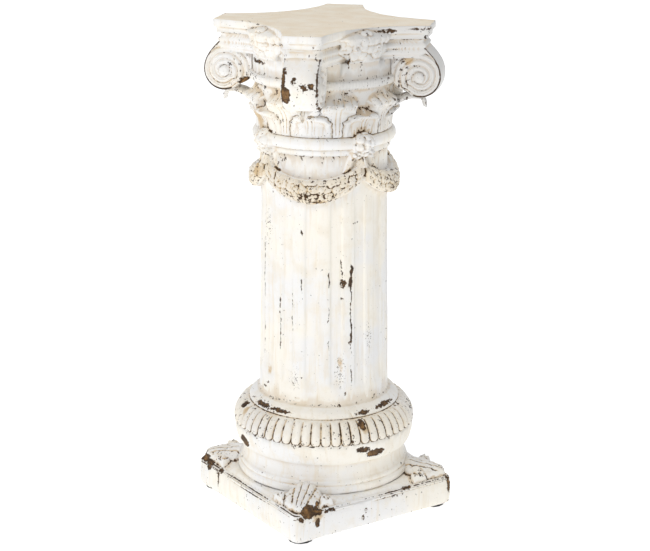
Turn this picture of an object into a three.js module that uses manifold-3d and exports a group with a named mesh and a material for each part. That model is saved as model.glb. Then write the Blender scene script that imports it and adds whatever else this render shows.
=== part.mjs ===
// Decorative column: a cast pedestal in the composite order on four round pads.
// Millimetres, +Z up. The origin is the centre of the underside, on the ground.
// Sides face +X, -X, +Y and -Y, and the volutes stand on the diagonals.

import * as THREE from 'three';
import { mergeVertices } from 'three/addons/utils/BufferGeometryUtils.js';
import Module from 'manifold-3d';

// Pads under the corners
const padHeight = 4;
const padRadius = 20;
const padInset = 23;
const padSides = 12;

// Square plinth with a slightly raised top
const plinthSide = 306;
const plinthHeight = 48;
const plinthCorner = 12;
const plinthArris = 4;
const plinthTopRise = 6;

// Base mouldings, from the plinth up
const ringRadius = 142;
const ringHeight = 14;
const stepRadius = 138;
const stepHeight = 7;
const scotiaRadius = 134.5;
const scotiaHeight = 31;
const torusSeatRadius = 136.5;
const torusRadius = 148;
const torusLowerHeight = 33;
const torusUpperHeight = 35;
const collarRadius = 122;
const collarHeight = 16.5;

// Tongues round the upper half of the torus
const tongueCount = 56;
const tongueDepth = 3;

// Shaft, narrower at the head, with shallow flutes that stop short of both ends
const shaftFootRadius = 106;
const shaftHeadRadius = 101;
const shaftHeight = 410;
const shaftSwell = 1.5;
const fluteCount = 16;
const fluteShare = 0.5;
const fluteDepth = 3.5;
const fluteFoot = 33.5;
const fluteLength = 305;
const fluteSlope = 4;

// Neck: a thin fillet and a round ring
const neckFilletRadius = 105.5;
const neckFilletHeight = 9;
const neckRingRadius = 114;
const neckRingHeight = 20;

// Bell behind the leaves
const bellFootRadius = 101;
const bellHeadRadius = 111;
const bellHeight = 74;

// Bands over the bell
const ovoloRadius = 118;
const ovoloHeight = 14;
const fasciaRadius = 112;
const fasciaHeight = 26.5;
const canalHeight = 31;

// Abacus with hollow sides and cut corners
const abacusHeight = 21;
const abacusLedge = 9;
const abacusLedgeInset = 5;
const abacusArris = 1.5;
const abacusReach = 171;
const abacusCutWidth = 61;
const abacusWaist = 108;
const canalInset = 12;
const canalBulge = 5;

// Corner volutes, upright scrolls on the diagonals
const voluteEyeReach = 155;
const voluteEyeDrop = 75;
const voluteRadius = 41;
const volutePitch = 10;
const voluteTurns = 2;
const voluteWidth = 54;
const voluteRidge = 5;
const voluteEyeRadius = 8;
const voluteStemWidth = 38;
const voluteSpike = 20;

// Two rows of leaves round the bell
const leavesInRow = 8;
const shortLeafHeight = 40;
const shortLeafWidth = 54;
const shortLeafReach = 119;
const tallLeafHeight = 68;
const tallLeafWidth = 46;
const tallLeafReach = 125;
const leafThickness = 8;
const leafCurl = 7;

// Garlands under the neck, one below each volute, and their hangers at mid side
const garlandDrop = 55.5;
const garlandRise = 24;
const garlandHalfAngle = 41;
const garlandBody = 17;
const garlandEnd = 5;
const garlandStandOff = 3;
const garlandFlower = 20;
const hangerFlower = 16;
const hangerBell = 11;
const hangerLength = 48;

// Side flowers on the abacus
const sideFlowerWidth = 78;
const sideFlowerHeight = 44;
const sideFlowerDepth = 10;
const sideFlowerRosette = 15;
const sideFlowerSpacing = 36;

// Leaves on the plinth's corners
const spurFoot = 132;
const spurHeight = 26;
const spurWidth = 92;
const spurTipGap = 7;

// Facets
const turnedSides = 32;

// Heights worked out from the sizes above
const plinthTop = padHeight + plinthHeight;
const ringFoot = plinthTop + plinthTopRise;
const stepFoot = ringFoot + ringHeight;
const scotiaFoot = stepFoot + stepHeight;
const torusFoot = scotiaFoot + scotiaHeight;
const torusWaist = torusFoot + torusLowerHeight;
const collarFoot = torusWaist + torusUpperHeight;
const shaftFoot = collarFoot + collarHeight;
const neckFoot = shaftFoot + shaftHeight;
const neckRingFoot = neckFoot + neckFilletHeight;
const bellFoot = neckRingFoot + neckRingHeight;
const ovoloFoot = bellFoot + bellHeight;
const fasciaFoot = ovoloFoot + ovoloHeight;
const canalFoot = fasciaFoot + fasciaHeight;
const abacusFoot = canalFoot + canalHeight;
const columnHeight = abacusFoot + abacusHeight;

const voluteEyeHeight = columnHeight - voluteEyeDrop;

// Bite that one part of the casting takes into its neighbour, and the slope of a small edge
const bite = 4;
const filletEdge = 1;

const fullTurn = 2 * Math.PI;
const quarter = Math.PI / 2;
const angleMatch = 1e-6;

const wasm = await Module();
wasm.setup();

// A closed mesh as a solid for joining and cutting
function toSolid(geometry) {
  const plain = geometry.clone();
  plain.deleteAttribute('normal');
  plain.deleteAttribute('uv');
  const merged = mergeVertices(plain, 1e-4);
  return new wasm.Manifold(new wasm.Mesh({
    numProp: 3,
    vertProperties: new Float32Array(merged.attributes.position.array),
    triVerts: new Uint32Array(merged.index.array),
  }));
}

// The surface of a solid as a mesh geometry
function toGeometry(body) {
  const mesh = body.getMesh();
  const geometry = new THREE.BufferGeometry();
  geometry.setAttribute('position', new THREE.BufferAttribute(new Float32Array(mesh.vertProperties), 3));
  geometry.setIndex(new THREE.BufferAttribute(new Uint32Array(mesh.triVerts), 1));
  geometry.computeVertexNormals();
  return geometry;
}

// A closed body through rings of points, each ring anticlockwise about the way the rings advance.
// All rings have the same number of points, and each point joins the same one in the next ring.
function loft(rings) {
  const count = rings[0].length;
  const faces = [];
  for (let row = 0; row + 1 < rings.length; row += 1) {
    for (let i = 0; i < count; i += 1) {
      const here = row * count + i;
      const next = row * count + ((i + 1) % count);
      faces.push(here, next, next + count);
      faces.push(here, next + count, here + count);
    }
  }
  return closeEnds(rings, faces);
}

// A closed body through level rings about the column's axis, lowest first.
// Rings may differ in their number of points: neighbours are joined in the order of their angles.
function stack(rings) {
  const ordered = rings.map((ring) => [...ring].sort((a, b) => turnOf(a) - turnOf(b)));
  const faces = [];
  let lowerStart = 0;
  for (let row = 0; row + 1 < ordered.length; row += 1) {
    const lower = ordered[row];
    const upper = ordered[row + 1];
    const upperStart = lowerStart + lower.length;
    let i = 0;
    let j = 0;
    while (i < lower.length || j < upper.length) {
      const here = lowerStart + (i % lower.length);
      const above = upperStart + (j % upper.length);
      const lowerNext = i < lower.length ? turnAfter(lower, i) : Infinity;
      const upperNext = j < upper.length ? turnAfter(upper, j) : Infinity;
      if (lowerNext <= upperNext + angleMatch) {
        i += 1;
        faces.push(here, lowerStart + (i % lower.length), above);
      } else {
        j += 1;
        faces.push(here, upperStart + (j % upper.length), above);
      }
    }
    lowerStart = upperStart;
  }
  return closeEnds(ordered, faces);
}

// Angle of a point round the axis, from 0 to a full turn, and that of the point after the given one
function turnOf(point) {
  const turn = Math.atan2(point.y, point.x);
  return turn < -angleMatch ? turn + fullTurn : Math.max(turn, 0);
}

function turnAfter(ring, index) {
  return index + 1 < ring.length ? turnOf(ring[index + 1]) : turnOf(ring[0]) + fullTurn;
}

// Adds a fan over the first and the last ring and makes the geometry
function closeEnds(rings, faces) {
  const points = rings.flat();
  const first = rings[0];
  const last = rings[rings.length - 1];
  const lastStart = points.length - last.length;
  const firstHub = points.push(middleOf(first)) - 1;
  const lastHub = points.push(middleOf(last)) - 1;
  first.forEach((_, i) => faces.push(firstHub, (i + 1) % first.length, i));
  last.forEach((_, i) => faces.push(lastHub, lastStart + i, lastStart + ((i + 1) % last.length)));
  const geometry = new THREE.BufferGeometry().setFromPoints(points);
  geometry.setIndex(faces);
  return geometry;
}

function middleOf(ring) {
  const sum = ring.reduce((total, point) => total.add(point), new THREE.Vector3());
  return sum.divideScalar(ring.length);
}

function polar(radius, angle, height) {
  return new THREE.Vector3(radius * Math.cos(angle), radius * Math.sin(angle), height);
}

// A level round ring about the axis
function circle(radius, height, sides = turnedSides) {
  return Array.from({ length: sides }, (_, i) => polar(radius, (fullTurn * i) / sides, height));
}

// Round rings from [radius, height] pairs
function circles(profile) {
  return profile.map(([radius, height]) => circle(radius, height));
}

// Points on an arc of an ellipse, as [radius, height] pairs, angles in degrees
function arc(centre, size, fromAngle, toAngle, steps) {
  return Array.from({ length: steps + 1 }, (_, i) => {
    const angle = THREE.MathUtils.degToRad(fromAngle + ((toAngle - fromAngle) * i) / steps);
    return [centre[0] + size[0] * Math.cos(angle), centre[1] + size[1] * Math.sin(angle)];
  });
}

// Copies of a geometry turned round the column's axis, the first at the given angle in degrees
function around(geometry, count, firstAngle) {
  return Array.from({ length: count }, (_, i) => {
    const angle = firstAngle + (360 * i) / count;
    return geometry.clone().rotateZ(THREE.MathUtils.degToRad(angle));
  });
}

// The same points turned to each of the four sides
function onFourSides(points) {
  const axis = new THREE.Vector2();
  return [0, 1, 2, 3].flatMap((side) => {
    return points.map((point) => point.clone().rotateAround(axis, side * quarter));
  });
}

function atHeight(outline, height) {
  return outline.map((point) => new THREE.Vector3(point.x, point.y, height));
}

// Outline of the plinth at a given inset: straight sides and round corners
function plinthOutline(inset) {
  const half = plinthSide / 2 - inset;
  const corner = Math.max(plinthCorner - inset / 2, 1);
  const centre = half - corner;
  const side = [-1, 0, 1].map((share) => new THREE.Vector2(half, centre * share));
  const bend = [1, 2].map((i) => {
    const angle = (quarter * i) / 3;
    return new THREE.Vector2(centre + corner * Math.cos(angle), centre + corner * Math.sin(angle));
  });
  return onFourSides([...side, ...bend]);
}

function plinthRings() {
  return [
    atHeight(plinthOutline(plinthArris / 2), padHeight),
    atHeight(plinthOutline(0), padHeight + plinthArris / 2),
    atHeight(plinthOutline(0), plinthTop - plinthArris),
    atHeight(plinthOutline(plinthArris / 3), plinthTop - plinthArris / 3),
    atHeight(plinthOutline(plinthArris), plinthTop),
  ];
}

// First ring, step, scotia and the lower half of the torus
function baseRings() {
  const ringBulge = ringHeight / 3;
  const seatToWaist = [torusRadius - torusSeatRadius, torusLowerHeight];
  return circles([
    ...arc([ringRadius - ringBulge, ringFoot + ringHeight / 2], [ringBulge, ringHeight / 2], -90, 90, 2),
    [stepRadius, stepFoot + ringBulge / 2],
    [stepRadius, scotiaFoot],
    [scotiaRadius, scotiaFoot + scotiaHeight * 0.35],
    [scotiaRadius, scotiaFoot + scotiaHeight * 0.7],
    ...arc([torusSeatRadius, torusWaist], seatToWaist, -90, 0, 3),
  ]);
}

// Upper half of the torus, cut into tongues with round lower ends
function tongueRings() {
  const levels = [[0.04, 0], [0.22, 1], [0.92, 0.5]];
  return levels.map(([share, deep]) => {
    const angle = quarter * share;
    const radius = collarRadius + (torusRadius - collarRadius) * Math.cos(angle);
    const height = torusWaist + torusUpperHeight * Math.sin(angle);
    return circle(radius, height, tongueCount * 2).map((point, i) => {
      const groove = (i % 2) * deep * tongueDepth;
      return point.multiply(new THREE.Vector3(1 - groove / radius, 1 - groove / radius, 1));
    });
  });
}

// Small convex collar between the torus and the shaft
function collarRings() {
  const rise = collarHeight * 0.35;
  const bulge = [collarRadius - shaftFootRadius, collarHeight - rise];
  return circles([
    [collarRadius, collarFoot],
    ...arc([shaftFootRadius, collarFoot + rise], bulge, 0, 60, 2),
  ]);
}

function shaftRadiusAt(height) {
  const share = THREE.MathUtils.clamp((height - shaftFoot) / shaftHeight, 0, 1);
  return shaftHeadRadius + (shaftFootRadius - shaftHeadRadius) * (1 - share) ** shaftSwell;
}

// Shaft with its flutes: four points a flute, two on the flats beside it and two on its floor
function shaftRings() {
  const period = fullTurn / fluteCount;
  const halfFlute = (period * fluteShare) / 2;
  const halfFloor = halfFlute * 0.75;
  const offsets = [[-halfFlute, 0], [-halfFloor, 1], [halfFloor, 1], [halfFlute, 0]];
  const fluteStart = shaftFoot + fluteFoot;
  const fluteEnd = fluteStart + fluteLength;
  const levels = [
    [shaftFoot, 0],
    [fluteStart, 0],
    [fluteStart + fluteSlope, fluteDepth],
    [fluteEnd - fluteSlope, fluteDepth],
    [fluteEnd, 0],
    [neckFoot, 0],
  ];
  return levels.map(([height, depth]) => Array.from({ length: fluteCount }, (_, i) => {
    return offsets.map(([offset, deep]) => {
      return polar(shaftRadiusAt(height) - deep * depth, i * period + offset, height);
    });
  }).flat());
}

function bellRadiusAt(height) {
  const share = THREE.MathUtils.clamp((height - bellFoot) / bellHeight, 0, 1);
  return bellFootRadius + (bellHeadRadius - bellFootRadius) * share ** 2;
}

// Neck rings, bell, ovolo and fascia
function capitalRings() {
  const ringCentre = [shaftHeadRadius, neckRingFoot + neckRingHeight / 2];
  const ringSize = [neckRingRadius - shaftHeadRadius, neckRingHeight / 2];
  const ovoloSize = [ovoloRadius - bellHeadRadius, ovoloHeight * 0.8];
  const bellLevels = [0, 0.7, 1].map((share) => bellFoot + bellHeight * share);
  return circles([
    [neckFilletRadius, neckFoot + filletEdge],
    [neckFilletRadius, neckRingFoot - filletEdge],
    ...arc(ringCentre, ringSize, -60, 60, 3),
    ...bellLevels.map((height) => [bellRadiusAt(height), height]),
    ...arc([bellHeadRadius, ovoloFoot + ovoloSize[1]], ovoloSize, -60, 0, 2),
    [fasciaRadius, fasciaFoot],
    [fasciaRadius, canalFoot],
  ]);
}

// Abacus outline at a given inset: hollow sides between corners cut across the diagonals
function abacusOutline(inset) {
  const halfCut = abacusCutWidth / 2 - inset * 0.4;
  const reach = abacusReach - inset;
  const tipX = (reach + halfCut) / Math.SQRT2;
  const tipY = (reach - halfCut) / Math.SQRT2;
  const waist = abacusWaist - inset;
  const side = [-1, -0.6, -0.2, 0.2, 0.6, 1].map((along) => {
    return new THREE.Vector2(waist + (tipX - waist) * along * along, tipY * along);
  });
  return onFourSides(side);
}

// Canal under the abacus, and the abacus itself
function abacusRings() {
  return [
    atHeight(abacusOutline(canalInset), canalFoot + filletEdge),
    atHeight(abacusOutline(canalInset - canalBulge), canalFoot + canalHeight / 2),
    atHeight(abacusOutline(canalInset), abacusFoot - filletEdge),
    atHeight(abacusOutline(abacusLedgeInset), abacusFoot),
    atHeight(abacusOutline(abacusLedgeInset), abacusFoot + abacusLedge),
    atHeight(abacusOutline(0), abacusFoot + abacusLedge + abacusArris),
    atHeight(abacusOutline(0), columnHeight - abacusArris),
    atHeight(abacusOutline(abacusArris), columnHeight),
  ];
}

// Everything that is turned about the axis or follows the plinth's and the abacus's outlines
function shaftAndMouldings() {
  return stack([
    ...plinthRings(),
    ...baseRings(),
    ...tongueRings(),
    ...collarRings(),
    ...shaftRings(),
    ...capitalRings(),
    ...abacusRings(),
  ]);
}

// Flower facing +X: a scalloped disc with a raised heart, its back at the origin
function rosette(radius, depth, petals = 5) {
  const rows = [[0, 0.8], [depth, 1]];
  const rings = rows.map(([x, share]) => Array.from({ length: petals * 2 }, (_, i) => {
    const angle = (Math.PI * i) / petals;
    const reach = radius * share * (i % 2 ? 0.72 : 1);
    return new THREE.Vector3(x, reach * Math.cos(angle), reach * Math.sin(angle));
  }));
  return loft(rings);
}

// One volute along +X: a scroll whose two faces carry a spiral ridge and an eye
function voluteScroll() {
  const stepsPerTurn = 9;
  const steps = Math.round(stepsPerTurn * voluteTurns);
  const half = voluteWidth / 2;
  const points = [];
  const faces = [];
  const place = (step, radius, side, lift) => {
    const angle = quarter - (fullTurn * step) / stepsPerTurn;
    const x = voluteEyeReach + radius * Math.cos(angle);
    const z = voluteEyeHeight + radius * Math.sin(angle);
    return points.push(new THREE.Vector3(x, side * (half + lift), z)) - 1;
  };
  const radiusAt = (step) => voluteRadius - (volutePitch * step) / stepsPerTurn;
  const face = (side) => {
    const add = (a, b, c) => (side > 0 ? faces.push(a, b, c) : faces.push(a, c, b));
    const valleys = [];
    const crests = [];
    for (let step = 0; step <= steps + stepsPerTurn; step += 1) {
      valleys.push(place(step, radiusAt(step), side, step < stepsPerTurn ? 0 : -voluteRidge));
    }
    for (let step = 0; step <= steps; step += 1) {
      crests.push(place(step, radiusAt(step) - volutePitch * 0.4, side, voluteRidge * 0.4));
    }
    for (let i = 0; i < steps; i += 1) {
      add(valleys[i], valleys[i + 1], crests[i + 1]);
      add(valleys[i], crests[i + 1], crests[i]);
      add(crests[i], crests[i + 1], valleys[i + 1 + stepsPerTurn]);
      add(crests[i], valleys[i + 1 + stepsPerTurn], valleys[i + stepsPerTurn]);
    }
    const inner = valleys.slice(steps);
    const rim = inner.slice(1).map((_, i) => place(steps + i, voluteEyeRadius, side, voluteRidge * 0.6));
    const hub = place(0, 0, side, voluteRidge);
    rim.forEach((point, i) => {
      const next = rim[(i + 1) % rim.length];
      add(inner[i], inner[i + 1], next);
      add(inner[i], next, point);
      add(point, next, hub);
    });
    add(inner[stepsPerTurn], crests[steps], rim[0]);
    add(crests[steps], inner[0], rim[0]);
    return { valleys, crests };
  };
  const near = face(1);
  const far = face(-1);
  const nearEdge = [...near.valleys.slice(0, stepsPerTurn + 1), near.crests[0]];
  const farEdge = [...far.valleys.slice(0, stepsPerTurn + 1), far.crests[0]];
  nearEdge.forEach((point, i) => {
    const next = (i + 1) % nearEdge.length;
    faces.push(point, farEdge[i], farEdge[next]);
    faces.push(point, farEdge[next], nearEdge[next]);
  });
  const geometry = new THREE.BufferGeometry().setFromPoints(points);
  geometry.setIndex(faces);
  return geometry;
}

// The volute's stem up to the abacus
function voluteStem() {
  const foot = voluteEyeHeight + voluteRadius * 0.45;
  const height = abacusFoot + bite - foot;
  const inner = abacusWaist;
  const outer = voluteEyeReach + voluteRadius * 0.2;
  const stem = new THREE.BoxGeometry(outer - inner, voluteStemWidth, height);
  return stem.translate((outer + inner) / 2, 0, foot + height / 2);
}

// The small leaf point below the volute
function voluteSpikeLeaf() {
  const length = voluteSpike + bite;
  const top = voluteEyeHeight - voluteRadius + volutePitch / 2 + bite;
  const spike = new THREE.ConeGeometry(voluteSpike / 2, length, 5).rotateX(-quarter);
  return spike.translate(voluteEyeReach, 0, top - length / 2);
}

// One leaf along +X on the bell, with scalloped edges, a middle rib and a curled tip
function leaf(height, width, reach) {
  const rows = 5;
  const tip = bellFoot + height;
  const onBell = (share, proud) => {
    const level = bellFoot + height * share;
    return new THREE.Vector2(bellRadiusAt(level) + leafThickness * proud, level);
  };
  const spine = new THREE.SplineCurve([
    onBell(-0.05, 0.3),
    onBell(0.4, 0.6),
    onBell(0.8, 0.8),
    new THREE.Vector2(reach - leafCurl * 0.4, tip),
    new THREE.Vector2(reach, tip - leafCurl),
  ]);
  const rings = Array.from({ length: rows + 1 }, (_, row) => {
    const share = row / rows;
    const centre = spine.getPoint(share);
    const scallop = row % 2 ? 1.12 : 0.88;
    const half = (width / 2) * scallop * Math.sqrt(1 - (share * 0.94) ** 4);
    const spread = half / centre.x;
    return [
      polar(centre.x - leafThickness * 0.8, -spread, centre.y),
      polar(centre.x + leafThickness * 0.2, 0, centre.y),
      polar(centre.x - leafThickness * 0.8, spread, centre.y),
      polar(centre.x - leafThickness * 1.4, 0, centre.y - leafCurl * share * 0.6),
    ];
  });
  return loft(rings);
}

// One garland centred on +X, thick in the middle and thin at its ends, with its flower
function garland() {
  const steps = 8;
  const sectionPoints = 5;
  const middleHeight = neckFoot - garlandDrop;
  const rings = Array.from({ length: steps + 1 }, (_, i) => {
    const along = (2 * i) / steps - 1;
    const angle = THREE.MathUtils.degToRad(garlandHalfAngle * along);
    const lump = i % 2 ? 1.1 : 0.9;
    const body = (garlandEnd + (garlandBody - garlandEnd) * (1 - along * along)) * lump;
    const height = middleHeight + garlandRise * along * along;
    const axis = shaftRadiusAt(height) + garlandStandOff;
    return Array.from({ length: sectionPoints }, (_, k) => {
      const turn = (fullTurn * k) / sectionPoints;
      return polar(axis + body * Math.sin(turn), angle, height + body * Math.cos(turn));
    });
  });
  const flower = rosette(garlandFlower, garlandFlower * 0.55);
  flower.translate(shaftHeadRadius + garlandBody * 0.6, 0, middleHeight);
  return [loft(rings), flower];
}

// One hanger on +X: a flower on the neck ring and a small bell below it
function hanger() {
  const flowerHeight = neckRingFoot + neckRingHeight / 2;
  const flower = rosette(hangerFlower, hangerFlower * 0.6);
  flower.translate(neckRingRadius - hangerFlower * 0.3, 0, flowerHeight);
  const levels = [[0.8, 0], [1, 0.15], [0.7, 0.5], [0.7, 1]];
  const rings = levels.map(([wide, share]) => {
    return circle(hangerBell * wide, flowerHeight - hangerLength * (1 - share), 6);
  });
  return [flower, loft(rings).translate(shaftHeadRadius + hangerBell * 0.5, 0, 0)];
}

// One side flower on +X: a leafy block in front of the abacus with two rosettes
function sideFlower() {
  const top = columnHeight - abacusArris * 2;
  const back = abacusWaist - canalInset;
  const front = abacusWaist + sideFlowerDepth;
  const outline = [[-1, 0.55], [-0.62, 1], [0, 0.8], [0.62, 1], [1, 0.55]];
  const rings = outline.map(([across, share]) => {
    const y = (across * sideFlowerWidth) / 2;
    const foot = top - sideFlowerHeight * share;
    const proud = back + (front - back) * share;
    return [
      new THREE.Vector3(back, y, foot),
      new THREE.Vector3(back, y, top),
      new THREE.Vector3(proud, y, top),
      new THREE.Vector3(proud, y, foot + bite),
    ];
  });
  const flowers = [-1, 1].map((side) => {
    const flower = rosette(sideFlowerRosette, sideFlowerDepth);
    return flower.translate(front - bite, (side * sideFlowerSpacing) / 2, top - sideFlowerHeight * 0.5);
  });
  return [loft(rings), ...flowers];
}

// One plinth leaf along +X, from the lowest ring out to the corner
function plinthLeaf() {
  const cornerReach = (plinthSide / 2 - plinthCorner) * Math.SQRT2 + plinthCorner;
  const tip = cornerReach - spurTipGap;
  const rows = [[0, 0.45, 1], [0.25, 0.62, 0.9], [0.42, 1, 0.7], [0.6, 0.6, 0.6], [1, 0.15, 0.2]];
  const columns = [[1, 0.05], [0.62, 0.6], [0, 1], [-0.62, 0.6], [-1, 0.05]];
  const rings = rows.map(([along, wide, tall]) => {
    const x = spurFoot + (tip - spurFoot) * along;
    const half = (spurWidth / 2) * wide;
    const crest = columns.map(([across, lift]) => {
      return new THREE.Vector3(x, across * half, plinthTop + spurHeight * tall * lift);
    });
    const underside = [-1, 1].map((across) => new THREE.Vector3(x, across * half, plinthTop - bite));
    return [...crest, ...underside];
  });
  return loft(rings);
}

// The whole casting as one solid
function casting() {
  const parts = [
    shaftAndMouldings(),
    ...around(voluteScroll(), 4, 45),
    ...around(voluteStem(), 4, 45),
    ...around(voluteSpikeLeaf(), 4, 45),
    ...around(leaf(shortLeafHeight, shortLeafWidth, shortLeafReach), leavesInRow, 0),
    ...around(leaf(tallLeafHeight, tallLeafWidth, tallLeafReach), leavesInRow, 180 / leavesInRow),
    ...garland().flatMap((piece) => around(piece, 4, 45)),
    ...hanger().flatMap((piece) => around(piece, 4, 0)),
    ...sideFlower().flatMap((piece) => around(piece, 4, 0)),
    ...around(plinthLeaf(), 4, 45),
  ];
  return toGeometry(parts.map(toSolid).reduce((whole, piece) => whole.add(piece)));
}

const paint = new THREE.MeshStandardMaterial({ color: 0xe9e2d3, roughness: 0.75, metalness: 0 });
const rubber = new THREE.MeshStandardMaterial({ color: 0x1d1c1b, roughness: 0.8, metalness: 0 });

const group = new THREE.Group();

const column = new THREE.Mesh(casting(), paint);
column.name = 'column';
group.add(column);

// A pad below each corner, named as seen with the photographed corner in front
const padPlace = plinthSide / 2 - padInset;
const padCorners = { front: [1, -1], right: [1, 1], back: [-1, 1], left: [-1, -1] };
for (const [corner, [x, y]] of Object.entries(padCorners)) {
  const pad = new THREE.CylinderGeometry(padRadius, padRadius, padHeight, padSides).rotateX(quarter);
  const mesh = new THREE.Mesh(pad, rubber);
  mesh.name = `foot_pad_${corner}`;
  mesh.position.set(x * padPlace, y * padPlace, padHeight / 2);
  group.add(mesh);
}

export default group;
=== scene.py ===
from itertools import product
from math import cos, pi, radians, sin, sqrt

import bpy
import numpy as np
from mathutils import Euler, Matrix, Vector


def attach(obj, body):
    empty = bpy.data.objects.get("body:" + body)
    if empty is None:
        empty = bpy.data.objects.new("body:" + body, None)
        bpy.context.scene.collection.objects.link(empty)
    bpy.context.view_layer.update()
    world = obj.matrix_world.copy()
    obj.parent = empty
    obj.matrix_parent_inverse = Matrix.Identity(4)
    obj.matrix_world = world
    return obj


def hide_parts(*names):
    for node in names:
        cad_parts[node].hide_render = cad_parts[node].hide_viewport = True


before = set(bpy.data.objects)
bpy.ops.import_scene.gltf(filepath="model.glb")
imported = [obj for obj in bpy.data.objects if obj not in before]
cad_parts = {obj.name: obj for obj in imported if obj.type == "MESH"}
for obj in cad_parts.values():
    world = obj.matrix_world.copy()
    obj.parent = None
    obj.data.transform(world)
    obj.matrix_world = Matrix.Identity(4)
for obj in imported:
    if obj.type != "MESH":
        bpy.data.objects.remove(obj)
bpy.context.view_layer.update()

# All lengths below are in millimetres, and metre turns them into the frame's unit
metre = 0.001

# The photograph's viewpoint
camera_place = (2.3586, -1.5638, 1.2271)
camera_turn = 56.42
camera_drop = 16.61
camera_roll = 0.11
camera_lens = 100.7
sensor_width = 36

# Studio: the way to the white backdrop, its levels away from it and towards it, and the lights
backdrop_side = (-0.75, 0.5, 0.43)
backdrop_levels = (0.29, 0.80)
floor_glow = 0.55
key_place = (1.15, -2.4, 2.5)
key_power = 29
fill_place = (1.8, -2.2, 0.7)
fill_power = 3.4

# Pads and plinth
pad_height = 4
plinth_half = 153
plinth_corner = 12
plinth_arris = 4
plinth_top = 52
plinth_bulge = 3
plinth_bulge_half = 26
bead_height = 44.5

# Corner leaves of the plinth, with their half width and ridge at shares of their length
spur_foot = 132
spur_tip = 209
spur_places = (-0.3, 0.0, 0.25, 0.42, 0.6, 0.85, 1.0)
spur_halves = (20, 22, 29, 42, 27, 17, 2)
spur_ridges = (27, 26, 22, 18, 17, 12, 4)
spur_scroll_place = (166, 36)
spur_scroll_radius = 14

# Base mouldings
ring_foot = 58
ring_radius = 142
torus_waist = 143
torus_radius = 148
collar_foot = 178
tongue_count = 56
tongue_foot = 142.5

# Shaft
shaft_foot = 194.5
shaft_height = 409.5
shaft_foot_radius = 106
shaft_head_radius = 101
shaft_swell = 1.5
flute_count = 16
flute_share = 0.5
flute_depth = 3.2
flute_foot = 228
flute_head = 560

# Neck
neck_foot = 604.5
neck_fillet_radius = 105.5
neck_ring_foot = 613.5
neck_ring_radius = 114
bell_foot = 633.5

# Garlands on the diagonals, with the half width at each angle and the flowers' angles, and the
# hangers at mid side
trim_foot = 500
garland_height = 549
garland_radius = 112
garland_rise = 24
garland_half_angle = 41
garland_angles = (0, 10, 23, 34, 42)
garland_halves = (19, 18, 16, 14, 11)
garland_flowers = (-37, -30.5, -24, -17, -9.5, 0, 9.5, 17, 24, 30.5, 37)
hanger_flower_height = 624
hanger_bell_height = 594

# Bell
bell_foot_radius = 101
bell_head_radius = 111
bell_head = 707.5

# The bell's leaves: height, width and reach of the tip, their spread, as shares of the width, at
# places that are shares of the height, the width of their ribs' foot, and how far the tips hang
leaf_pitch = 45
short_leaf = (43, 74, 119)
tall_leaf = (68, 66, 127)
leaf_places = (0, 0.3, 0.6, 0.78, 0.92, 1)
short_spread = (1.0, 1.02, 0.92, 0.74, 0.5, 0.2)
tall_spread = (0.5, 0.64, 0.95, 1.04, 0.9, 0.5)
short_fan = 0.8
tall_fan = 0.2
short_droop = 5
tall_droop = 6

# Bands over the bell
ovolo_radius = 118
fascia_foot = 721.5
fascia_radius = 112
striation_count = 144
striation_depth = 0.45

# Canal and abacus
canal_foot = 748
abacus_foot = 779
column_height = 800
abacus_reach = 171
abacus_cut = 61
abacus_waist = 108
canal_inset = 12
flower_foot = 745
flower_top = 797
flower_half_width = 43
flower_spacing = 36
flower_scroll_radius = 13.5

# Volutes: the scroll's reach at the top, at the rim and along the arm, and how fast it winds in
eye_reach = 155
eye_height = 718
volute_top = 54
volute_rim = 28.5
volute_arm = 44
volute_gain = 6
volute_fade = 0.42
volute_pitch = 9.5
volute_half = 27
eye_radius = 8.5
eye_proud = 5.8

# How deep bare patches lie under the paint
paint_depth = 0.9
plinth_paint_depth = 1.2
volute_paint_depth = 0.8

# Mesh fineness: columns round the axis, and the step between rows where there is carving
columns = 960
fine = 1.0
triangle_limit = 196000
edge_cost = 4e-6
hollow_rounds, sunk_rounds = ((5, 24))

theta = np.arange(columns) * 2 * pi / columns
diagonal = pi / 4
quarter = pi / 2


def ease(low, high, value):
    """Runs smoothly from 0 where the value is low to 1 where it is high."""
    share = np.clip((value - low) / (high - low), 0.0, 1.0)
    return share * share * (3.0 - 2.0 * share)


def dome(value):
    """1 where value is 0, falling to 0 where it is 1 or more."""
    return np.clip(1.0 - value * value, 0.0, None)


def ball(value):
    """Like a dome, but with upright sides."""
    return np.sqrt(dome(value))


def folded(angle, period, first=0.0):
    """Angle to the nearest of the copies that stand a period apart."""
    return (angle - first + period / 2) % period - period / 2


# Each column's angle from the nearest middle of a side
side_angle = folded(theta, quarter)
fold = np.abs(side_angle)

lattice_size = 40
lattice = np.random.RandomState(11).rand(lattice_size, lattice_size, lattice_size)


def noise(x, y, z, size, shift=0.0):
    """Smooth noise from -1 to 1 with lumps about size across, the same in each run."""
    places = [value / size + shift + 7.3 * axis for axis, value in enumerate((x, y, z))]
    cells = [np.floor(place).astype(int) for place in places]
    shares = [place - cell for place, cell in zip(places, cells)]
    shares = [share * share * (3.0 - 2.0 * share) for share in shares]
    total = 0.0
    for corner in product((0, 1), repeat=3):
        weight = 1.0
        index = []
        for side, cell, share in zip(corner, cells, shares):
            weight = weight * (share if side else 1.0 - share)
            index.append((cell + side) % lattice_size)
        total = total + weight * lattice[index[0], index[1], index[2]]
    return total * 2.0 - 1.0


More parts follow.
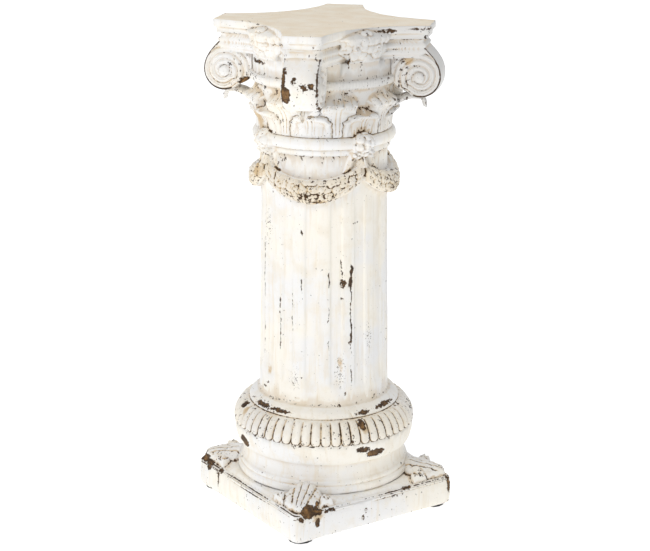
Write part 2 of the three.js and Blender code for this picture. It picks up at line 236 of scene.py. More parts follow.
def cobbles(across, up, size):
    """Round lumps packed side by side, like small petals and leaves: 1 on top, 0 between."""
    x, y = across / size, up / size
    cell_x, cell_y = np.floor(x).astype(int), np.floor(y).astype(int)
    nearest = np.full(np.broadcast(x, y).shape, 9.0)
    for step_x, step_y in product((-1, 0, 1), repeat=2):
        i = (cell_x + step_x) % lattice_size
        j = (cell_y + step_y) % lattice_size
        offset_x = cell_x + step_x + 0.2 + 0.6 * lattice[i, j, 3] - x
        offset_y = cell_y + step_y + 0.2 + 0.6 * lattice[i, j, 9] - y
        nearest = np.minimum(nearest, np.hypot(offset_x, offset_y))
    return ball(nearest / 0.85)


def blossom(across, up, radius, petals, turn=0.0):
    """Height, as a share, of an open flower with a round heart."""
    far = np.hypot(across, up) / radius
    angle = np.arctan2(up, across) * petals + turn
    ripple = np.abs(np.cos(angle / 2)) ** 0.7
    share = far / (0.8 + 0.2 * ripple)
    petal = dome(share) ** 0.5 * (0.5 + 0.5 * ripple * ease(0.15, 0.5, share) + 0.2 * dome(far))
    heart = 0.35 * dome(far / 0.26)
    pit = -0.3 * dome((far - 0.38) / 0.13)
    return np.where(share < 1, petal + heart + pit, 0.0)


# Wear: places where the paint has come off, as azimuth, reach, height, half width, half depth and
# half height. The azimuth is in degrees from +X.
chips = (
    # Shaft
    (-16.5, 104, 399, 5, 9, 8), (-3, 104, 495, 6.5, 9, 1.6), (-14.5, 104, 214, 1.6, 9, 3),
    (-17.5, 104, 374, 2.4, 9, 2.6), (-93, 104, 220, 4, 9, 1.8), (-98, 104, 210, 5, 9, 1.8),
    (-57, 104, 206, 4, 9, 1.4), (-9.5, 104, 398, 3.4, 9, 9),
    # Collar and torus
    (-88, 119, 186, 18, 12, 4), (-70, 119, 186, 20, 12, 3), (-2, 119, 185, 12, 12, 3.4),
    (21, 119, 187, 21, 12, 3.2), (-96, 143, 122, 15, 14, 10), (-8, 146, 133, 13, 14, 5),
    (1, 144, 123, 18, 14, 7), (-6.8, 134, 170, 6, 12, 9), (-108, 130, 172, 12, 12, 5),
    # Front volute and its neighbours
    (-43.9, 187, 727, 4, 14, 9), (-39.9, 187, 728, 5.4, 14, 6), (-47.6, 187, 737, 3.6, 14, 9),
    (-51.3, 186, 714, 8, 22, 13), (-52.6, 186, 737, 3.4, 22, 20), (-36.9, 184, 716, 1.3, 22, 22),
    (-36.4, 178, 693, 3, 16, 3), (-123, 120, 702, 9, 16, 8), (-35.4, 118, 690, 3, 12, 3.4),
    (6, 116, 641, 4, 9, 4), (-14.6, 116, 752, 1.8, 20, 8), (-26, 176, 741, 2, 12, 7),
    (-102, 115, 741, 34, 10, 3.6), (19, 120, 793, 15, 14, 2.8), (34, 160, 795, 16, 20, 1.6),
    (36.5, 172, 790, 2.2, 9, 9), (-30, 168, 791, 3.4, 16, 4),
    # Plinth
    (-40.5, 197, 53, 13, 15, 11), (-36, 190, 50, 9, 9, 6), (-30, 176, 48, 10, 8, 3),
    (-36.4, 190, 33, 4, 8, 8), (-43.5, 204, 44, 5, 9, 6), (-36.5, 182, 60, 4, 10, 4),
    (-118.5, 175, 38, 2.6, 10, 16), (-116, 176, 50, 9, 9, 5), (-135, 209, 42, 7, 9, 14),
    (-133, 200, 53, 19, 14, 7), (-127, 190, 47, 8, 12, 9), (43.7, 211, 40, 4, 10, 16),
    (22, 165, 50, 10, 8, 2), (-8, 154, 33, 3, 6, 3), (-10, 154, 22, 2.4, 6, 4),
    # Hidden sides, in keeping
    (150, 104, 300, 5, 9, 18), (120, 146, 140, 15, 14, 7), (-165, 146, 128, 13, 14, 8),
    (140, 206, 52, 15, 16, 9), (95, 153, 49, 14, 6, 2.4), (180, 154, 30, 6, 6, 9),
    (128, 190, 724, 6, 22, 16), (-142, 190, 735, 4, 18, 12), (75, 119, 186, 15, 12, 3.4),
)

# Upright cracks in the shaft's paint, as azimuth, lowest and highest place and half width. They
# are felt within their reach, and their half width is at its least where there are none.
crack_reach = 8
crack_least = -4
cracks = (
    (-17.6, 402, 438, 1.5), (-9.2, 386, 430, 2.4), (-9.2, 288, 392, 1.5), (-75.6, 272, 372, 1.4),
    (-63, 300, 390, 0.9), (-99.5, 362, 472, 1.2), (-99, 255, 356, 0.7), (-53.5, 374, 432, 1),
    (-53.5, 466, 490, 1), (-75.5, 428, 450, 1.2), (-29.5, 394, 434, 1.2), (-29.5, 284, 308, 1),
    (-29.5, 330, 392, 0.6), (2.4, 340, 360, 1.5), (-8.5, 218, 262, 0.7),
    (100, 376, 464, 1.8), (-160, 420, 500, 1.3), (75, 280, 380, 1.2), (140, 260, 420, 1.1),
)

# Golden stains, told like the bare patches
stains = (
    (34.3, 140, 748, 5, 12, 20), (43, 160, 690, 11, 14, 7), (-135, 168, 690, 12, 14, 8),
    (-37, 190, 44, 15, 14, 15), (-19, 104, 272, 6, 9, 16), (-93, 104, 350, 6, 9, 8),
    (-92, 104, 238, 6, 9, 9), (4, 116, 642, 8, 9, 5), (-100, 135, 168, 12, 12, 10),
    (-6, 140, 165, 8, 12, 12), (-100, 112, 650, 15, 14, 34), (-98, 116, 572, 15, 16, 18),
    (-36, 120, 532, 20, 14, 10), (150, 104, 330, 7, 9, 14), (120, 140, 165, 10, 12, 10),
)

# Patches of fine brown spatter, as azimuth, height, half width and half height
spatter = ((-19, 252, 13, 34), (-60, 240, 14, 24), (-95, 480, 12, 40), (10, 300, 9, 40),
           (130, 350, 14, 60))

# How strongly the column wears, as height and share
wear_zones = ((0, 0.5), (20, 0.3), (44, 0.5), (53, 0.8), (60, 0.5), (75, 0.3), (110, 0.3), (150, 0.4),
              (180, 0.7), (196, 0.4), (215, 0.2), (520, 0.2), (535, 0.8), (560, 0.9), (600, 0.5),
              (640, 0.5), (700, 0.5), (745, 0.6), (790, 0.6), (800, 0.5))

# How fast the loss of paint grows into a patch, and its value where the paint is whole
patch_steepness = 12
whole_paint = 6

# Dirt in the hollows, as height and share
grime_zones = ((0, 0.4), (50, 0.5), (60, 0.35), (100, 0.1), (138, 0.4), (145, 1), (176, 1), (196, 0.3),
               (215, 0.1), (598, 0.1), (606, 0.5), (628, 0.3), (633, 1), (638, 0.7), (700, 0.65),
               (724, 0.15), (745, 0.15), (760, 0.5), (790, 0.4))


def spot_distance(x, y, z, spot):
    """Distance from a spot's middle, 1 at its edge. The spot is told like a bare patch."""
    azimuth, reach, height, half_width, half_depth, half_height = spot
    out_x, out_y = cos(radians(azimuth)), sin(radians(azimuth))
    out = (x * out_x + y * out_y - reach) / half_depth
    side = (y * out_x - x * out_y) / half_width
    rise = (z - height) / half_height
    return np.sqrt(out * out + side * side + rise * rise)


def paint_loss(x, y, z):
    """How far inside a bare patch a place lies, in mm: below 0 where the paint is whole."""
    worn = np.interp(z, *zip(*wear_zones))
    patch = 0.55 * noise(x, y, z, 13.0, 1.7) + 0.45 * noise(x, y, z, 5.0, 5.9)
    loss = np.maximum(patch_steepness * (patch - 0.9 + 0.3 * worn), -whole_paint)
    for chip in chips:
        loss = np.maximum(loss, (1 - spot_distance(x, y, z, chip)) * min(chip[3], chip[5]))
    return loss


def chipped(x, y, z):
    """1 where the paint is gone, 0 where it is whole, with torn edges."""
    ragged = 1.1 * noise(x, y, z, 5.0, 3.1) + 0.7 * noise(x, y, z, 2.2, 8.7)
    return ease(-0.5, 0.5, paint_loss(x, y, z) + ragged)


def side_on_shaft(x, y, azimuth):
    """Distance from an azimuth along the round of the shaft."""
    return folded(np.degrees(np.arctan2(y, x)), 360, azimuth) * radians(1) * shaft_head_radius


def crack_lines(x, y, z):
    """Distance to the nearest upright crack along the round of the shaft, and its half width there."""
    on_shaft = (z > shaft_foot + 10) & (z < 530) & (np.hypot(x, y) < shaft_foot_radius + 1)
    nearest = np.full(x.shape, float(crack_reach))
    width = np.full(x.shape, float(crack_least))
    for azimuth, low, high, half_width in cracks:
        side = side_on_shaft(x, y, azimuth)
        ends = np.clip(np.minimum(z - low, high - z) / 8, -2, 1)
        half = np.where(on_shaft, half_width * ends - np.clip(np.abs(side) - 3, 0, 4), crack_least)
        better = half > width
        nearest = np.where(better, np.clip(side, -crack_reach, crack_reach), nearest)
        width = np.where(better, half, width)
    return nearest, width


def stained(x, y, z):
    """Share of golden stain, 1 in a stain's middle."""
    share = np.zeros(x.shape)
    for stain in stains:
        share = np.maximum(share, dome(spot_distance(x, y, z, stain)))
    return share


def spattered(x, y, z):
    """Share of fine brown spatter on the shaft."""
    share = np.zeros(x.shape)
    for azimuth, height, half_width, half_height in spatter:
        side = side_on_shaft(x, y, azimuth) / half_width
        share = np.maximum(share, dome(np.hypot(side, (z - height) / half_height)))
    return share * (np.hypot(x, y) < shaft_foot_radius + 1)


# The body: rows of points round the axis, each a reach and a height for every column. The carving on
# it takes the rows' heights as an upright array, which meets the level array of the columns' angles.

body_reach = []
body_height = []


def add_rows(reach, height):
    """Adds one row, or several, from reaches and heights of one value or one a column."""
    reach, height = np.broadcast_arrays(np.atleast_2d(reach), np.atleast_2d(height))
    body_reach.extend(reach)
    body_height.extend(height)


def in_plan(reach):
    """The x and y of points at these reaches, one for every column."""
    return reach * np.cos(theta), reach * np.sin(theta)


def turned(angle, reach, across):
    """The x and y of points at a reach along this angle and a distance across it."""
    return reach * cos(angle) - across * sin(angle), reach * sin(angle) + across * cos(angle)


def from_diagonal(x, y):
    """Distance out along the nearest diagonal and distance from it."""
    return (np.abs(x) + np.abs(y)) / sqrt(2), np.abs(np.abs(x) - np.abs(y)) / sqrt(2)


def laid(surface, shape, seat, rise):
    """The surface with a shape that stands on the seat where it rises over what is there."""
    return np.maximum(surface, np.where(shape > 0, seat + rise * shape, 0))


def square_outline(inset):
    """Reach of the plinth's outline: straight sides and round corners."""
    half = plinth_half - inset
    corner = max(plinth_corner - inset / 2, 1.0)
    centre = half - corner
    flat = half / np.cos(fold)
    lean = centre * (np.cos(fold) - np.sin(fold))
    bend = centre * (np.cos(fold) + np.sin(fold)) + np.sqrt(np.clip(corner**2 - lean**2, 0, None))
    return np.where(half * np.tan(fold) > centre, bend, flat)


def abacus_outline(inset):
    """Reach of the abacus's outline: hollow sides between corners cut across the diagonals."""
    half_cut = abacus_cut / 2 - inset * 0.4
    reach = abacus_reach - inset
    tip_x = (reach + half_cut) / sqrt(2)
    tip_y = (reach - half_cut) / sqrt(2)
    waist = abacus_waist - inset
    slope = np.tan(fold)
    root = np.sqrt(np.clip(tip_y**2 - 4 * (tip_x - waist) * waist * slope**2, 0, None))
    along = 2 * waist * slope / (tip_y + root)
    hollow = (waist + (tip_x - waist) * along**2) / np.cos(fold)
    cut = reach / np.cos(diagonal - fold)
    return np.where(slope > tip_y / tip_x, cut, np.minimum(hollow, cut))


def corner_leaf(x, y):
    """Height over the plinth of the leaf on its corner: a ridge, two side scrolls and a tip."""
    along, across = from_diagonal(x, y)
    share = (along - spur_foot) / (spur_tip - spur_foot)
    half = np.interp(share, spur_places, spur_halves)
    ridge = np.interp(share, spur_places, spur_ridges)
    lobe = half * (1 + 0.06 * np.cos(share * 30))
    sheet = ridge * dome(across / lobe) ** 0.5
    crest = np.interp(share, (0.0, 0.4, 1.0), (11, 10, 6))
    middle_lobe = 2.0 * ball(across / (0.5 * crest))
    side_lobe = 1.6 * ball((across - crest) / (0.42 * crest))
    sheet = sheet + (middle_lobe + side_lobe) * ease(1.0, 0.86, share)
    sheet = sheet - 2.0 * dome((across - crest * 1.6) / 2.4) * np.clip(sheet / 6, 0, 1)
    beside = (0.35 + 0.65 * ease(crest, crest + 5, across)) * np.clip(sheet / 6, 0, 1)
    sheet = sheet + beside * (4.2 * cobbles(x, y, 9.5) - 1.4)
    scroll_along, scroll_across = spur_scroll_place
    far = np.hypot(along - scroll_along, across - scroll_across)
    turn = np.arctan2(along - scroll_along, across - scroll_across)
    coil = np.cos(far / spur_scroll_radius * 2 * pi * 1.5 + turn)
    scroll = (16 + 3.4 * coil) * ball(far / spur_scroll_radius)
    return np.maximum(sheet, scroll)


def over_bead(x, y, z):
    """Height over the wavering bead under the plinth's upper edge."""
    return z - bead_height - 0.8 * noise(x, y, 0, 30)


def plinth_rows():
    """The plinth's underside, its four sides with the broken bead, and its rounded upper edge."""
    lower = square_outline(plinth_arris / 2)
    for share in (0.12, 0.5, 0.85, 0.99):
        add_rows(lower * share, pad_height)
    add_rows(lower, pad_height + 0.3)
    add_rows(square_outline(0.6), pad_height + 0.8)
    middle = (pad_height + plinth_top) / 2
    heights = np.arange(pad_height + 2, plinth_top - plinth_arris, fine * 1.4)
    outline = square_outline(0)
    for height in heights:
        x, y = in_plan(outline)
        wobble = 0.8 * noise(x, y, height, 34) + 0.35 * noise(x, y, height, 11)
        wobble = wobble + plinth_bulge * dome((height - middle) / plinth_bulge_half)
        broken = ease(-0.5, 0.1, noise(x, y, 0, 40, 4.4))
        bead = dome(over_bead(x, y, height) / (1.1 * fine)) * broken
        bare = plinth_paint_depth * chipped(x, y, height)
        add_rows(outline + wobble - 0.9 * bead - bare, height)
    for turn in np.linspace(0, quarter, 7):
        inset = plinth_arris * (1 - cos(turn))
        height = plinth_top - plinth_arris * (1 - sin(turn))
        outline = square_outline(inset)
        x, y = in_plan(outline)
        wobble = 0.9 * noise(x, y, height, 30) + 0.5 * noise(x, y, height, 10)
        bare = chipped(x, y, height)
        add_rows(outline + wobble - plinth_paint_depth * bare, height + 0.5 * wobble - 0.6 * bare)


def plinth_top_rows():
    """The plinth's upper face with its corner leaves, in to the lowest ring."""
    outer = square_outline(plinth_arris)
    foot = ring_radius - 3
    count = 62
    for share in np.linspace(0, 1, count + 1)[1:]:
        reach = outer + (foot - outer) * share
        x, y = in_plan(reach)
        crown = (ring_foot - plinth_top) * ease(190, ring_radius, reach)
        crown = crown * ease(0, 0.35, share) + 0.8 * noise(x, y, 0, 26)
        leaf = corner_leaf(x, y) * ease(0.0, 0.06, share)
        height = plinth_top + np.maximum(crown, leaf)
        add_rows(reach, height - chipped(x, y, height))


def spline(points, step):
    """Points a step apart on a smooth curve through the given ones."""
    points = np.array(points, float)
    if len(points) == 2:
        count = max(int(np.linalg.norm(points[1] - points[0]) / step), 1)
        return points[0] + (points[1] - points[0]) * np.linspace(0, 1, count + 1)[:, None]
    padded = np.vstack([2 * points[0] - points[1], points, 2 * points[-1] - points[-2]])
    dense = []
    for a, b, c, d in zip(padded, padded[1:], padded[2:], padded[3:]):
        for share in np.linspace(0, 1, 24, endpoint=False):
            dense.append(0.5 * (2 * b + (c - a) * share + (2 * a - 5 * b + 4 * c - d) * share**2
                                + (3 * b - a - 3 * c + d) * share**3))
    dense = np.array(dense + [points[-1]])
    run = np.concatenate([[0], np.cumsum(np.linalg.norm(np.diff(dense, axis=0), axis=1))])
    count = max(int(run[-1] / step), 2)
    stations = np.linspace(0, run[-1], count + 1)
    return np.column_stack([np.interp(stations, run, dense[:, k]) for k in (0, 1)])


def shaft_reach(height):
    """Reach of the shaft, which swells towards its foot."""
    share = np.clip((height - shaft_foot) / shaft_height, 0, 1)
    return shaft_head_radius + (shaft_foot_radius - shaft_head_radius) * (1 - share) ** shaft_swell


def bell_reach(height):
    """Reach of the bell under its leaves."""
    share = np.clip((height - bell_foot) / (bell_head - bell_foot), 0, 1)
    return bell_foot_radius + (bell_head_radius - bell_foot_radius) * share**2


def shaft_line(low, high, step):
    """Points up the shaft from one height to another."""
    heights = np.arange(low, high, step)
    return np.column_stack([shaft_reach(heights), heights])


def turned_profile():
    """The turned outline from the plinth to the canal, as strokes between its creases."""
    bell_heights = np.arange(bell_foot + 0.5, bell_head, fine * 0.8)
    return [
        spline([(139, 58), (141.8, 61), (142.2, 65), (141.8, 69), (139, 72)], fine * 1.3),
        spline([(138.6, 72.6), (139.2, 75.5), (138.2, 79)], fine * 1.6),
        spline([(136.8, 79.8), (133.4, 87), (132.4, 96), (133.6, 104), (136, 108.6)], fine * 1.6),
        spline([(139, 108.8), (141.8, 111.4), (144.4, 118), (147, 129), (147.9, 142.9)], fine * 1.2),
        spline([(147.9, 143.5), (144.7, 156.8), (138, 168), (132.7, 173.5), (124, 178)], fine * 0.8),
        spline([(121.6, 178.6), (122.8, 181.4), (120, 187.5), (113.7, 193), (106.6, 196.8)], fine),
        shaft_line(198, flute_foot - 6, fine * 3),
        shaft_line(flute_foot - 6, flute_foot + 12, fine),
        shaft_line(flute_foot + 12, 522, fine * 2.4),
        shaft_line(522, neck_foot, fine * 0.9),
        spline([(neck_fillet_radius, neck_foot), (neck_fillet_radius + 0.4, 609),
                (neck_fillet_radius, neck_ring_foot - 0.6)], fine),
        spline([(105, neck_ring_foot), (111.5, 616), (neck_ring_radius, 623), (111.5, 630.5),
                (104, 633)], fine * 0.9),
        np.column_stack([bell_reach(bell_heights), bell_heights]),
        spline([(112, bell_head), (116.6, 710.5), (ovolo_radius, 715), (117.4, 721)], fine),
        spline([(fascia_radius, fascia_foot + 0.6), (fascia_radius, canal_foot)], fine * 1.4),
    ]


def tongues(height):
    """Tongues round the upper torus: round-ended panels, each in an incised line."""
    half_pitch = pi / tongue_count
    side = np.abs(folded(theta, 2 * half_pitch)) / half_pitch
    width = half_pitch * torus_radius
    rise = (height - tongue_foot) * 1.08
    radius = 0.93 * width
    bowl = np.hypot(side * width, rise - radius)
    far = np.where(rise > radius, side * width, bowl) - radius
    on_row = ease(tongue_foot - 2.5, tongue_foot - 1, height) * ease(177.5, 174, height)
    line = -2.2 * dome(far / (1.7 * max(fine, 1.0)))
    belly = 2.2 * np.clip(-far / radius, 0, 1) ** 0.5
    return (line + belly) * on_row


def flutes(height):
    """Shallow flutes with square, softened ends."""
    period = 2 * pi / flute_count
    side = np.abs(folded(theta, period)) * shaft_head_radius
    half = period * flute_share / 2 * shaft_head_radius
    foot = ease(-10, 12, height - flute_foot)
    head = ease(-2, 45, flute_head - height)
    floor = ease(-1.6, 2.4, half - side) * foot * head
    hollow = 0.3 * dome(side / half)
    return -flute_depth * floor * (0.75 + hollow)


def garlands(height):
    """Garlands of flowers and leaves, one under each volute. Gives the reach of their surface."""
    degrees = np.degrees(folded(theta, quarter, diagonal))
    share = degrees / garland_half_angle
    middle = garland_height + garland_rise * share**2
    slope = 2 * garland_rise * share / (garland_half_angle * radians(1) * shaft_head_radius)
    lean = 1 / np.sqrt(1 + slope**2)
    half = np.interp(np.abs(degrees), garland_angles, garland_halves)
    off = (height - middle) * lean
    run = degrees * radians(1) * garland_radius
    body = 0.55 * half * ball(off / half)
    leafage = 7.5 * cobbles(run, off + 40, 12) + 3.2 * cobbles(run + 90, off + 70, 6.2)
    surface = np.where(np.abs(off) < half, body + leafage * (body > 0.5), 0)
    for step, place in enumerate(garland_flowers):
        middle_here = garland_height + garland_rise * (place / garland_half_angle) ** 2
        half_here = np.interp(abs(place), garland_angles, garland_halves)
        shift = half_here * (0.0 if place == 0 else 0.28 * (-1) ** step)
        radius = half_here * (0.74 if place else 0.84)
        across = run - place * radians(1) * garland_radius
        up = height - middle_here - shift
        flower = blossom(across, up, radius, 5 + step % 2, 0.9 * step)
        surface = laid(surface, flower, 0.34 * half_here, 9.5 + radius * 0.3)
    ends = ease(garland_half_angle + 3.5, garland_half_angle, np.abs(degrees))
    surface = surface * ends
    return np.where(surface > 0, shaft_reach(height) + surface, 0)


def hangers(up):
    """Hangers at mid side: a loose flower on the neck ring, a small bell under it, and ribbons."""
    run = side_angle * neck_ring_radius
    ground = shaft_head_radius
    loose = 0.55 * blossom(run + 1.5, up - hanger_flower_height, 17, 5, 0.4)
    spread = ball(np.hypot(run / 25, (up - hanger_flower_height + 1) / 14))
    loose = loose + 0.6 * cobbles(run + 71, up + 3, 9.5) * spread
    surface = laid(np.zeros(loose.shape), loose, 110, 15)
    surface = laid(surface, blossom(run - 11, up - 609, 11, 5, 1.3), ground, 17)
    surface = laid(surface, blossom(run + 11, up - 608, 11, 5, 0.2), ground, 17)
    leafage = cobbles(run + 33, up, 8) * dome(np.hypot(run / 24, (up - 612) / 17))
    surface = laid(surface, leafage, ground + 4, 13)
    fall = np.clip((hanger_bell_height + 8 - up) / 16, 0, 1)
    half = 6 + 6.5 * fall**1.5
    scallop = np.abs(np.cos(run / half * 4.5))
    on_bell = (up < hanger_bell_height + 8) & (up > hanger_bell_height - 10 + 1.6 * scallop)
    surface = laid(surface, ball(run / half) * on_bell, ground, 9 + 7 * fall + 1.2 * scallop)
    surface = laid(surface, ball(np.hypot(run / 7.5, (up - 577) / 9)), ground, 9)
    ribbon_side = np.abs(np.abs(run) - 15 - (612 - up) * 0.4)
    ribbon = ball(ribbon_side / 7) * ease(566, 574, up) * ease(618, 608, up)
    return laid(surface, ribbon, ground, 7.5)


def leaf_row(height, size, spread_shares, fan_foot, first, droop):
    """One row of leaves round the bell: ribbed blades with lobed edges and tips that curl out.

    Gives how far they stand out of the bell, and how far their tips hang down."""
    leaf_height, leaf_width, leaf_tip = size
    side = folded(theta, radians(leaf_pitch), first) * (bell_foot_radius + 6)
    share = (height - bell_foot) / leaf_height
    rise = np.clip(share, 0, 1)
    spread = np.interp(rise, leaf_places, spread_shares)
    lobes = 1 + 0.05 * np.cos(share * 2 * pi * 3.5 + 1.0) * ease(0.3, 0.6, share)
    half = np.clip(leaf_width / 2 * spread * lobes, 0.1, None)
    across = side / half
    fan = side / (leaf_width / 2 * (fan_foot + (1.04 - fan_foot) * rise**0.8))
    rib = np.abs(np.cos(fan * pi * 2.5)) ** 0.6
    tip = share + 0.2 * across**2 + 0.05 * (1 - rib)
    inside = ease(1.0, 0.78, np.abs(across)) * ease(1.06, 0.9, tip)
    vein = 0.9 * dome((np.abs(side) - 3.2) / 1.4)
    blade = 3.4 + 2.0 * rib * (0.4 + share * 0.6) - vein + 2.8 * dome(across)
    crinkle = 4.6 * cobbles(side + 60, height, 7.5) * ease(0.62, 0.8, tip)
    proud = leaf_tip - bell_reach(bell_foot + leaf_height) - 9
    bend = ease(0.42, 0.8, tip) * (1 - 0.6 * ease(0.84, 1.0, tip))
    curl = proud * bend * dome(across * 0.9) ** 0.8
    surface = (blade + crinkle + curl) * inside
    sag = -droop * ease(0.8, 0.97, share) * dome(across) * inside
    return surface, sag


def turned_rows():
    """Everything between the plinth and the canal, with what is carved on it."""
    for stroke in turned_profile():
        reach, height = stroke[:, :1], stroke[:, 1:]
        slope = np.gradient(stroke, axis=0)
        slope /= np.maximum(np.linalg.norm(slope, axis=1), 1e-9)[:, None]
        out, rise = slope[:, 1:], -slope[:, :1]
        base = np.repeat(reach, columns, axis=1)
        level = np.repeat(height, columns, axis=1)
        middle = height.mean()
        proud = np.zeros_like(base)
        lift = np.zeros_like(base)
        if torus_waist < middle < collar_foot:
            proud += tongues(height)
        if shaft_foot < middle < neck_foot:
            proud += flutes(height)
        if bell_head < middle < fascia_foot:
            proud += striation_depth * np.cos(striation_count * theta)
        if bell_foot < middle < bell_head:
            between = radians(leaf_pitch / 2)
            tall, tall_sag = leaf_row(height, tall_leaf, tall_spread, tall_fan, between, tall_droop)
            short, short_sag = leaf_row(height, short_leaf, short_spread, short_fan, 0.0, short_droop)
            front = short > 1
            proud += np.where(front, short + 0.35 * tall, tall)
            lift += np.where(front, short_sag, tall_sag)
        x, y = in_plan(base)
        proud += 0.45 * noise(x, y, level, 32, 2.2)
        final_reach, final_level = base + proud * out, level + proud * rise + lift
        if trim_foot < middle < bell_head:
            trim = np.maximum(garlands(height), hangers(height))
            final_reach = np.maximum(final_reach, trim)
            final_level = np.where(trim > final_reach - 0.5, level, final_level)
        bare = paint_depth * chipped(*in_plan(final_reach), final_level)
        add_rows(final_reach - bare * out, final_level - bare * rise)


def side_flowers(height):
    """Leafy pieces with two small scrolled flowers at mid side of the abacus: their reach."""
    run = side_angle * abacus_waist
    share = (height - flower_foot) / (flower_top - flower_foot)
    edge = flower_half_width * (0.62 + 0.38 * ease(0.0, 0.5, share))
    across = run / (edge * (1 + 0.07 * np.cos(share * 16)))
    up = height - ((flower_foot + flower_top) / 2 + 1)
    back = 105 + 12 * np.clip(share, 0, 1)
    leafage = 6.5 * cobbles(run + 200, height + 40, 11) + 2.2 * cobbles(run + 50, height, 5.5)
    leafage = leafage + 3.5 * dome(across)
    top = ease(0.78, 1.0, share)
    surface = (back - 9 * top + leafage * (1 - top)) * (np.abs(across) < 1) * (share > 0) * (share < 1)
    for place in (-1, 1):
        beside = run - place * flower_spacing / 2
        far = np.hypot(beside, up)
        coil = np.cos(far / 12.5 * 2 * pi * 1.7 - place * np.arctan2(up, beside))
        scroll = ball(far / flower_scroll_radius) * (10 + 2.2 * coil) + 3 * dome(far / 4)
        surface = np.maximum(surface, np.where(far < flower_scroll_radius, back + scroll, 0))
    surface = laid(surface, blossom(run, up - 15, 11, 5, 1.2), back, 10)
    return laid(surface, blossom(run, up + 15, 12, 5, 0.2), back, 9)


def abacus_rows():
    """The grooved canal and the stepped edge of the abacus, with the side flowers on them."""
    near_corner = ease(radians(20), radians(33), fold) * ease(radians(35), radians(34), fold)
    step = fine * 0.95
    bands = []
    for height in np.arange(canal_foot + 0.8, abacus_foot - 0.6, step):
        share = (height - canal_foot) / (abacus_foot - canal_foot)
        groove = 1.3 * np.cos(2 * pi * (height - canal_foot) / 10.3)
        bands.append((canal_inset - 5 * sin(pi * share), height, groove))
    for height in np.arange(abacus_foot, abacus_foot + 8, step):
        bands.append((5 - 1.2 * (height - abacus_foot) / 8, height, 0))
    bands += [(3.2, 787.4, 0), (1.0, 788.4, 0)]
    for height in np.arange(789.2, column_height - 1.6, step):
        bands.append((0, height, 0))
    bands += [(0.4, 799, 0), (1.4, 799.7, 0)]
    flowers = side_flowers(np.array([[height] for _, height, _ in bands]))
    for (inset, height, groove), flower in zip(bands, flowers):
        striation = 0.5 * np.cos(theta * 300) * near_corner if 757 < height < 775 else 0
        reach = np.maximum(abacus_outline(inset) + groove + striation, flower)
        x, y = in_plan(reach)
        wobble = 0.5 * noise(x, y, height, 24)
        if height > 788:
            wobble = wobble + 1.0 * noise(x, y, height, 17, 6.6) + 0.5 * noise(x, y, height, 7)
        dip = 0.5 * noise(x, y, 0, 15) if height > 798 else 0
        add_rows(reach + wobble - paint_depth * chipped(x, y, height), height + dip)


def top_rows():
    """The flat top, in to the axis."""
    outline = abacus_outline(1.6)
    for share in (0.992, 0.975, 0.94, 0.88, 0.8, 0.7, 0.55, 0.4, 0.25, 0.1):
        reach = outline * share
        x, y = in_plan(reach)
        add_rows(reach, column_height + 0.25 * noise(x, y, 0, 20))


def new_piece(name, points, quads=(), triangles=()):
    """A mesh object from arrays of points in millimetres and of faces."""
    quads, triangles = np.array(quads, int).reshape(-1, 4), np.array(triangles, int).reshape(-1, 3)
    mesh = bpy.data.meshes.new(name)
    mesh.vertices.add(len(points))
    mesh.vertices.foreach_set("co", (np.asarray(points) * metre).astype(np.float32).ravel())
    loops = np.concatenate([quads.ravel(), triangles.ravel()])
    sizes = np.concatenate([np.full(len(quads), 4), np.full(len(triangles), 3)])
    mesh.loops.add(len(loops))
    mesh.loops.foreach_set("vertex_index", loops.astype(np.int32))
    mesh.polygons.add(len(sizes))
    starts = np.concatenate([[0], np.cumsum(sizes)[:-1]])
    mesh.polygons.foreach_set("loop_start", starts.astype(np.int32))
    mesh.update(calc_edges=True)
    piece = bpy.data.objects.new(name, mesh)
    bpy.context.scene.collection.objects.link(piece)
    return piece


def closed_stack(name, rings, hubs):
    """A piece from rings of points that follow one another, with a fan to a hub over each end."""
    rows, count = rings.shape[:2]
    row, column = np.meshgrid(np.arange(rows - 1), np.arange(count), indexing="ij")
    here = row * count + column
    beside = row * count + (column + 1) % count
    quads = np.stack([here, beside, beside + count, here + count], -1).reshape(-1, 4)
    step = np.arange(count)
    following = (step + 1) % count
    last = (rows - 1) * count
    first_fan = np.stack([np.full(count, rows * count), following, step], -1)
    last_fan = np.stack([np.full(count, rows * count + 1), last + step, last + following], -1)
    points = np.vstack([rings.reshape(-1, 3), hubs])
    return new_piece(name, points, quads, np.vstack([first_fan, last_fan]))


def body():
    """The casting but for its volutes and the leaves under them."""
    plinth_rows()
    plinth_top_rows()
    turned_rows()
    abacus_rows()
    top_rows()
    rings = np.stack([*in_plan(np.array(body_reach)), np.array(body_height)], -1)
    return closed_stack("column_casting", rings, [[0, 0, pad_height], [0, 0, column_height]])


def volute_outline(turn):
    """Reach of the scroll's edge from its eye. The turn runs from 0 at the top, outwards, round."""
    quarters = turn / quarter
    rise = volute_top - volute_rim - volute_gain
    spiral = volute_rim + volute_gain * (1 - quarters / 3) + rise * np.exp(-turn / volute_fade)
    up, inward = np.maximum(np.cos(turn), 1e-3), np.maximum(-np.sin(turn), 1e-3)
    arm = np.minimum(volute_top / up, volute_arm / inward)
    blend = ease(2.45, 3.1, quarters)
    return np.where(quarters > 2.4, spiral + (arm - spiral) * blend, spiral)


